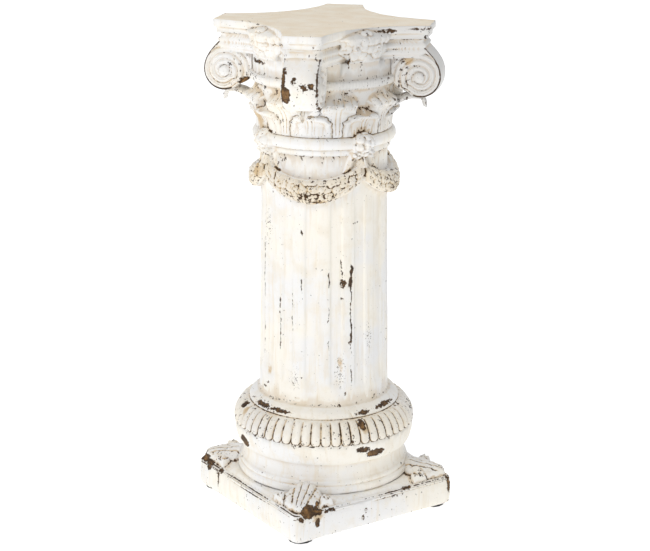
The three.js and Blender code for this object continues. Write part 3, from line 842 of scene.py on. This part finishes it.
def volute_relief(far, turn, edge):
    """How far the scroll's face stands out: a spiral channel that winds in to a raised eye."""
    quarters = turn / quarter
    disc = np.minimum(edge, volute_rim + volute_gain)
    phase = ((disc - far) / volute_pitch - quarters / 4 + 1) % 1.0
    channel = np.exp(-((folded(phase, 1.0, 0.66) / 0.2) ** 2))
    line = np.exp(-((folded(phase, 1.0, 0.28) / 0.07) ** 2))
    ridge = 0.4 - 4.2 * channel - 1.3 * line
    swell = 4.0 * dome(far / 36)
    rim = ease(0.0, 3.0, edge - far)
    face = (ridge + swell) * rim
    face = np.where(far > disc, np.minimum(face, 0.3), face)
    eye = 5.6 * ball(far / eye_radius) + 1.2
    return np.where(far < eye_radius, eye, face - 2.0 * dome((far - eye_radius) / 2.0))


def volute(index):
    """One scroll: its face from the eye out to the edge, its rim, and its other face back in."""
    around, inwards, across = ((200, 52, 34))
    turn = np.arange(around) * 2 * pi / around
    edge = volute_outline(turn)
    rings = []
    for side in (1, -1):
        shares = np.linspace(0.03, 1, inwards) if side > 0 else np.linspace(1, 0.03, inwards)
        for share in shares:
            far = edge * share
            lift = volute_relief(far, turn, edge)
            half = np.full(around, side * volute_half) + side * lift
            rings.append((far, half))
        if side > 0:
            for place in np.linspace(1, -1, across)[1:-1]:
                belly = 2.2 * dome(place / 0.95)
                rings.append((edge + belly, np.full(around, place * volute_half)))
    far, half = np.array(rings).transpose(1, 0, 2)
    reach = eye_reach + far * np.sin(turn)
    height = eye_height + far * np.cos(turn)
    angle = diagonal + index * quarter
    bare = volute_paint_depth * chipped(*turned(angle, reach, half), height)
    half = half - np.sign(half) * bare * (np.abs(half) > volute_half - 8)
    hubs = [[*turned(angle, eye_reach, side * (volute_half + eye_proud)), eye_height] for side in (1, -1)]
    return closed_stack(f"volute_{index}", np.stack([*turned(angle, reach, half), height], -1), hubs)


def volute_leaf(index):
    """The small leaf that reaches from the bell under a volute, its tip hanging down."""
    spine = spline([(100, 664), (117, 677), (133, 685), (147, 687), (156, 683), (158.5, 670)], 1.6)
    rows, count = len(spine), 24
    slope = np.gradient(spine, axis=0)
    slope /= np.linalg.norm(slope, axis=1)[:, None]
    share = np.linspace(0, 1, rows)
    half = np.interp(share, (0, 0.3, 0.6, 0.8, 1), (17, 17, 14, 10.5, 0.8))
    half = half * (1 + 0.09 * np.cos(share * 26))
    turn = np.arange(count) * 2 * pi / count
    across = np.cos(turn) * half[:, None]
    rib = 0.9 * np.cos(np.cos(turn) * 2 * pi * 2)
    body_half = np.interp(share, (0, 0.7, 1), (7, 5, 1.0))[:, None]
    thick = (body_half + rib * (np.sin(turn) < 0)) * np.sin(turn)
    droop = 5 * np.cos(turn) ** 2 * (share[:, None] > 0)
    reach = spine[:, :1] + slope[:, 1:] * (thick - droop)
    height = spine[:, 1:] - slope[:, :1] * thick - 0.6 * droop
    rings = np.stack([*turned(diagonal + index * quarter, reach, across), height], -1)
    return closed_stack(f"leaf_{index}", rings, rings[[0, -1]].mean(axis=1))


def read(items, name, width, kind=float):
    """One property of a mesh's points, edges or triangles as an array."""
    values = np.empty(len(items) * width, kind)
    items.foreach_get(name, values)
    return values.reshape(-1, width)


def face_outwards(piece):
    """Turns a closed mesh's faces out if they face in."""
    mesh = piece.data
    mesh.calc_loop_triangles()
    corners = read(mesh.loop_triangles, "vertices", 3, int)
    a, b, c = read(mesh.vertices, "co", 3)[corners].transpose(1, 0, 2)
    if np.einsum("ij,ij->i", a, np.cross(b, c)).sum() < 0:
        mesh.flip_normals()
    return piece


def joined(pieces):
    """Puts the pieces' meshes into the first one."""
    with bpy.context.temp_override(active_object=pieces[0], selected_editable_objects=pieces):
        bpy.ops.object.join()
    return pieces[0]


def settled(piece):
    """Applies the piece's modifiers to its mesh."""
    graph = bpy.context.evaluated_depsgraph_get()
    mesh = bpy.data.meshes.new_from_object(piece.evaluated_get(graph))
    piece.modifiers.clear()
    old = piece.data
    piece.data = mesh
    bpy.data.meshes.remove(old)
    return piece


def united(piece, other):
    """Cuts away what the two solids share and makes them one."""
    union = piece.modifiers.new("union", "BOOLEAN")
    union.operation = "UNION"
    union.solver = "MANIFOLD"
    union.object = other
    settled(piece)
    bpy.data.objects.remove(other)
    return piece


def thinned(piece):
    """Brings the mesh under the limit of triangles, keeping its carving and no very long edges."""
    piece.data.calc_loop_triangles()
    even = piece.vertex_groups.new(name="even")
    even.add(range(len(piece.data.vertices)), 0.5, "REPLACE")
    thin = piece.modifiers.new("thin", "DECIMATE")
    thin.ratio = min(1.0, triangle_limit / len(piece.data.loop_triangles))
    thin.vertex_group = even.name
    thin.vertex_group_factor = edge_cost
    settled(piece)
    piece.vertex_groups.clear()
    return piece


def grime_share(x, y, z):
    """How much dirt gathers in the hollows here: most on flowers and leaves, least on the shaft."""
    share = np.interp(z, *zip(*grime_zones))
    reach = np.hypot(x, y)
    on_garland = ease(103.5, 107, reach) * ease(515, 525, z) * ease(606, 598, z)
    near_corner = np.abs(np.abs(x) - np.abs(y)) < 60
    on_spur = ease(136, 142, reach) * ease(50, 53, z) * (z < 90) * near_corner
    azimuth = np.degrees(np.arctan2(y, x))
    low_middle = dome(folded(azimuth, 90, 45) / 24) * ease(556, 540, z)
    on_torus = ease(148, 156, z) * ease(182, 178, z)
    share = share - 0.5 * on_torus * dome(folded(azimuth, 360, -47) / 24)
    return np.maximum(share, np.maximum(on_garland * (1.1 + 0.5 * low_middle), 0.9 * on_spur))


def edge_share(x, y, z):
    """1 on the thin lines where paint rubs off edges: the volutes' rims and the plinth's arrises."""
    along, across = from_diagonal(x, y)
    along = along - eye_reach
    up = z - eye_height
    off_rim = volute_outline(np.arctan2(along, up) % (2 * pi)) - np.hypot(along, up)
    rim = ease(3.2, 1.6, np.abs(off_rim)) * ease(4, 1, np.abs(across - volute_half))
    rim = rim * (along > -12) * (z < 765) * np.where(x * y > 0, 1.3, 1)
    side = np.maximum(np.abs(x), np.abs(y))
    arris = ease(1.5, 0.7, np.abs(z - plinth_top + 1.6)) * (side > plinth_half - 5.5)
    bead = ease(1.6, 0.6, np.abs(over_bead(x, y, z))) * (side > plinth_half - 3)
    left = np.where(y < -plinth_half + 6, 1.15, 0.85)
    return np.maximum(rim, np.maximum(arris, 0.9 * bead) * left)


def mark_wear(piece):
    """Stores for the paint how hollow each point lies, near and wide, which sets the painted shade and
    grime in the hollows, and its share of grime, lost paint, rubbed edges, cracks, spatter and stains."""
    mesh = piece.data
    count = len(mesh.vertices)
    points = read(mesh.vertices, "co", 3) / metre
    normals = read(mesh.vertices, "normal", 3)
    start, end = read(mesh.edges, "vertices", 2, int).T
    links = np.bincount(start, minlength=count) + np.bincount(end, minlength=count)
    smooth = points.copy()
    hollows = {}
    for name, rounds, most in (("hollow", hollow_rounds, 0.7), ("sunk", sunk_rounds, 2.5)):
        for _ in range(rounds):
            total = [np.bincount(start, smooth[end, k], count) + np.bincount(end, smooth[start, k], count)
                     for k in range(3)]
            smooth = 0.3 * smooth + 0.7 * np.stack(total, -1) / links[:, None]
        depth = np.einsum("ij,ij->i", smooth - points, normals)
        hollows[name] = np.clip(depth, -most, most) / most
    crack, crack_half = crack_lines(*points.T)
    marks = {**hollows, "grime": grime_share(*points.T), "loss": paint_loss(*points.T),
             "edge": edge_share(*points.T), "crack": crack, "crack_half": crack_half,
             "spatter": spattered(*points.T), "stain": stained(*points.T)}
    for name, values in marks.items():
        layer = mesh.attributes.new(name, "FLOAT", "POINT")
        layer.data.foreach_set("value", values.astype(np.float32))


# Finishes

class Value:
    """A result inside a material, which can be reckoned with like a number."""

    def __init__(self, nodes, socket):
        self.nodes = nodes
        self.socket = socket

    def __add__(self, other):
        return self.nodes.math("ADD", self, other)

    def __sub__(self, other):
        return self.nodes.math("SUBTRACT", self, other)

    def __mul__(self, other):
        return self.nodes.math("MULTIPLY", self, other)

    def __abs__(self):
        return self.nodes.math("ABSOLUTE", self)


class Nodes:
    """Adds nodes to a material or the surroundings, with values or plain numbers as inputs."""

    def __init__(self, owner, closing):
        owner.use_nodes = True
        self.owner = owner
        self.tree = owner.node_tree
        self.closing = self.tree.nodes[closing]

    def fill(self, node, inputs):
        for key, value in inputs.items():
            if isinstance(value, Value):
                self.tree.links.new(value.socket, node.inputs[key])
            else:
                node.inputs[key].default_value = value

    def add(self, kind, output, inputs, **settings):
        node = self.tree.nodes.new(kind)
        for key, value in settings.items():
            setattr(node, key, value)
        self.fill(node, inputs)
        return Value(self, node.outputs[output])

    def math(self, operation, *values):
        return self.add("ShaderNodeMath", 0, dict(enumerate(values)), operation=operation)

    def most(self, first, *others):
        for other in others:
            first = self.math("MAXIMUM", first, other)
        return first

    def place(self, kind="Object"):
        return self.add("ShaderNodeTexCoord", kind, {})

    def stretched(self, scale):
        return self.add("ShaderNodeMapping", 0, {"Vector": self.place(), "Scale": scale})

    def part(self, vector, axis):
        return self.add("ShaderNodeSeparateXYZ", axis, {"Vector": vector})

    def ramp(self, value, low, high):
        span = {"Value": value, "From Min": low, "From Max": high}
        return self.add("ShaderNodeMapRange", "Result", span, interpolation_type="SMOOTHSTEP")

    def noise(self, place, scale, detail=3.0, roughness=0.55):
        inputs = {"Vector": place, "Scale": scale, "Detail": detail, "Roughness": roughness}
        return self.add("ShaderNodeTexNoise", "Fac", inputs)

    def mix(self, share, below, above):
        return self.add("ShaderNodeMix", 2, {"Factor": share, 6: below, 7: above}, data_type="RGBA")

    def attribute(self, name):
        return self.add("ShaderNodeAttribute", "Fac", {}, attribute_name=name)

    def finish(self, tone, roughness, height, strength, distance):
        """Closes a material with its colour, its roughness and a bump of this height."""
        bump = {"Strength": strength, "Distance": distance, "Height": height}
        normal = self.add("ShaderNodeBump", "Normal", bump)
        self.fill(self.closing, {"Base Color": tone, "Roughness": roughness, "Normal": normal})
        return self.owner


def new_material(name):
    return Nodes(bpy.data.materials.new(name), "Principled BSDF")


def colour(red, green, blue):
    """A colour for a node from the shades seen on a screen, 0 to 255."""
    def straight(value):
        value /= 255
        return value / 12.92 if value <= 0.04045 else ((value + 0.055) / 1.055) ** 2.4
    return (straight(red), straight(green), straight(blue), 1.0)


ivory = colour(247, 242, 232)
chalk = colour(240, 239, 238)
cream = colour(231, 218, 194)
# Grey of the painted shade on the capital's right side
shade_grey = colour(220, 218, 215)
ochre = colour(200, 168, 116)
sand = colour(222, 202, 166)
umber = colour(84, 60, 36)
tan = colour(146, 108, 62)
dark = colour(50, 36, 25)
stone = colour(246, 230, 205)
pale_stone = colour(252, 241, 222)


def distressed_paint():
    """Cream-white paint over brown: warm grime and painted shade in the hollows, painted shade on the
    capital's right side, bare chips, specks and fine cracks.
    """
    nodes = new_material("distressed_paint")
    place, mix, ramp, part = nodes.place(), nodes.mix, nodes.ramp, nodes.part
    noise_at, mark = nodes.noise, nodes.attribute
    hollow, sunk, grime = [mark(name) for name in ("hollow", "sunk", "grime")]
    wide = noise_at(place, 9, 4)
    cloud = noise_at(place, 34, 4)
    grain = noise_at(place, 190, 4, 0.6)
    specks = noise_at(place, 430, 2, 0.5)
    streak = noise_at(nodes.stretched((1, 1, 0.1)), 120, 4, 0.6)
    group = noise_at(place, 22, 2)
    pits = noise_at(place, 150, 3, 0.65)

    paint = mix(ramp(wide, 0.4, 0.6), ivory, chalk)
    paint = mix(ramp(cloud, 0.48, 0.72) * 0.32, paint, cream)
    paint = mix(ramp(streak, 0.48, 0.72) * 0.42, paint, cream)

    # Painted shade: a grey tint over the capital's right side, away from the light
    height = part(place, "Z")
    side = part(place, "X") + part(place, "Y") * 0.6
    right_side_shade = ramp(side, 0.055, 0.095) * ramp(height, 0.63, 0.66)
    paint = mix(right_side_shade * ramp(wide, 0.2, 0.5), paint, shade_grey)

    # Painted shade and warm grime in the hollows, darker where the surface lies hollow, and golden stains
    low = hollow * 0.9 + sunk * 0.35 + grime * 0.18
    dirt_and_shade = ramp(low, 0.05, 0.6) * ramp(cloud, 0.2, 0.6) * (grime * 0.72 + 0.12)
    paint = mix(dirt_and_shade, paint, ochre)
    paint = mix(ramp(grime, 0.88, 1.2) * 0.5, paint, sand)
    stain = mark("stain") + (grain - 0.6)
    paint = mix(ramp(stain, 0.1, 0.7) * 0.75, paint, ochre)

    # Beige top face
    facing = part(nodes.place("Normal"), "Z")
    top = ramp(height, 0.7975, 0.7990) * ramp(facing, 0.6, 0.95)
    paint = mix(top, paint, mix(ramp(cloud, 0.3, 0.7), stone, pale_stone))

    # Dark specks deep in the dirt, and edges rubbed bare
    speckle = (grain - 0.5) * 2.2
    deep = ramp(hollow * 0.75 + grime * 0.7 + speckle, 1.0, 1.15)
    rubbed = mark("edge") * 0.75 + (group - 0.5) + speckle * 0.5

    # Small bare spots, more of them where the surface stands out or lies hollow
    relief = abs(hollow) * 0.12 + grime * 0.05
    spots = ramp(pits + (group - 0.5) * 0.35 + relief, 0.735, 0.765)
    splashed = mark("spatter") * 0.19 + grime * 0.05
    fleck = ramp(specks + splashed, 0.735, 0.76)

    # Torn edges of the bare patches, and upright cracks that jog and break off
    torn = mark("loss") + (grain - 0.5) * 9.0
    jog = (noise_at(nodes.stretched((0.3, 0.3, 1)), 55, 5, 0.6) - 0.5) * 9.0
    breaks = (noise_at(place, 130, 3, 0.6) - 0.5) * 7.0
    crack_half = mark("crack_half") + breaks - 0.35
    cracked = ramp(crack_half - abs(mark("crack") + jog), -0.15, 0.25)
    gone = nodes.most(ramp(torn, -0.25, 0.25), spots, cracked, deep,
                      ramp(rubbed, 0.62, 0.75), fleck * 0.7)

    # The brown ground, paler inside the large patches
    ground = mix(ramp(grain, 0.35, 0.65), dark, umber)
    worn_ground = mix(ramp(pits, 0.35, 0.65), umber, tan)
    ground = mix(ramp(cloud, 0.4, 0.56) * ramp(torn, 0.8, 2.6), ground, worn_ground)

    # Brushed, slightly lumpy surface, with the paint's thickness at its broken edges
    lumps = cloud + grain * 0.35 + streak * 0.3 - gone * 0.8
    rough = gone * 0.2 + grain * 0.2 + 0.5
    return nodes.finish(mix(gone, paint, ground), rough, lumps, 0.4, 0.0012)


def pad_rubber():
    """Matt black rubber with a fine grain and a little dust."""
    nodes = new_material("pad_rubber")
    grain = nodes.noise(nodes.place(), 900, 3)
    dust = nodes.ramp(nodes.noise(nodes.place(), 120, 3), 0.5, 0.75)
    tone = nodes.mix(dust, colour(26, 25, 24), colour(64, 60, 55))
    return nodes.finish(tone, grain * 0.3 + 0.6, grain, 0.3, 0.0003)


def floor_white():
    """Matt white that glows a little, so that the floor fades into the backdrop."""
    nodes = new_material("floor_white")
    tone = nodes.mix(nodes.noise(nodes.place(), 6), colour(250, 250, 250), colour(253, 253, 252))
    nodes.fill(nodes.closing, {"Base Color": tone, "Roughness": 0.9, "Emission Strength": floor_glow,
                               "Emission Color": colour(253, 254, 255)})
    return nodes.owner


def make_camera():
    camera = bpy.data.objects.new("camera", bpy.data.cameras.new("camera"))
    camera.location = camera_place
    upright = Euler((radians(90 - camera_drop), 0, radians(camera_turn))).to_matrix()
    camera.rotation_euler = (upright @ Matrix.Rotation(radians(camera_roll), 3, "Z")).to_euler()
    camera.data.sensor_width = sensor_width
    camera.data.lens = camera_lens
    camera.data.clip_end = 50
    bpy.context.scene.collection.objects.link(camera)
    bpy.context.scene.camera = camera


def area_light(name, place, target, size, power, tint):
    light = bpy.data.lights.new(name, "AREA")
    light.shape = "DISK"
    light.size = size
    light.energy = power
    light.color = tint
    lamp = bpy.data.objects.new(name, light)
    lamp.location = place
    lamp.rotation_euler = (Vector(target) - Vector(place)).to_track_quat("-Z", "Y").to_euler()
    bpy.context.scene.collection.objects.link(lamp)


def make_studio():
    """Pale floor, even white surroundings, a soft light from the left and a cooler one from in front."""
    floor_half = 9000
    corners = [(x * floor_half, y * floor_half, 0) for x, y in ((-1, -1), (1, -1), (1, 1), (-1, 1))]
    floor = new_piece("floor", corners, [(0, 1, 2, 3)])
    floor.data.materials.append(floor_white())
    nodes = Nodes(bpy.data.worlds.new("studio"), "Background")
    towards = nodes.add("ShaderNodeVectorMath", "Value", {0: nodes.place("Generated"), 1: backdrop_side},
                        operation="DOT_PRODUCT")
    levels = {"From Min": -1, "From Max": 0.8, "To Min": backdrop_levels[0], "To Max": backdrop_levels[1]}
    level = nodes.add("ShaderNodeMapRange", "Result", {"Value": towards, **levels})
    nodes.fill(nodes.closing, {"Color": (0.97, 0.985, 1.0, 1.0), "Strength": level})
    bpy.context.scene.world = nodes.owner
    bpy.context.scene.view_settings.view_transform = "Standard"
    area_light("key", key_place, (0, 0, 0.45), 1.3, key_power, (1.0, 0.965, 0.92))
    area_light("fill", fill_place, (0, 0, 0.6), 1.6, fill_power, (0.94, 0.97, 1.0))


def main():
    make_camera()
    casting = body()
    volutes = joined([face_outwards(volute(index)) for index in range(4)])
    leaves = joined([face_outwards(volute_leaf(index)) for index in range(4)])
    casting = united(united(face_outwards(casting), volutes), leaves)
    mark_wear(casting)
    thinned(casting)
    casting.data.shade_smooth()
    casting.data.materials.clear()
    casting.data.materials.append(distressed_paint())
    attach(casting, "root")
    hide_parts("column")

    rubber = pad_rubber()
    for name in ("foot_pad_front", "foot_pad_right", "foot_pad_back", "foot_pad_left"):
        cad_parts[name].material_slots[0].material = rubber
    make_studio()
    return casting


casting = main()
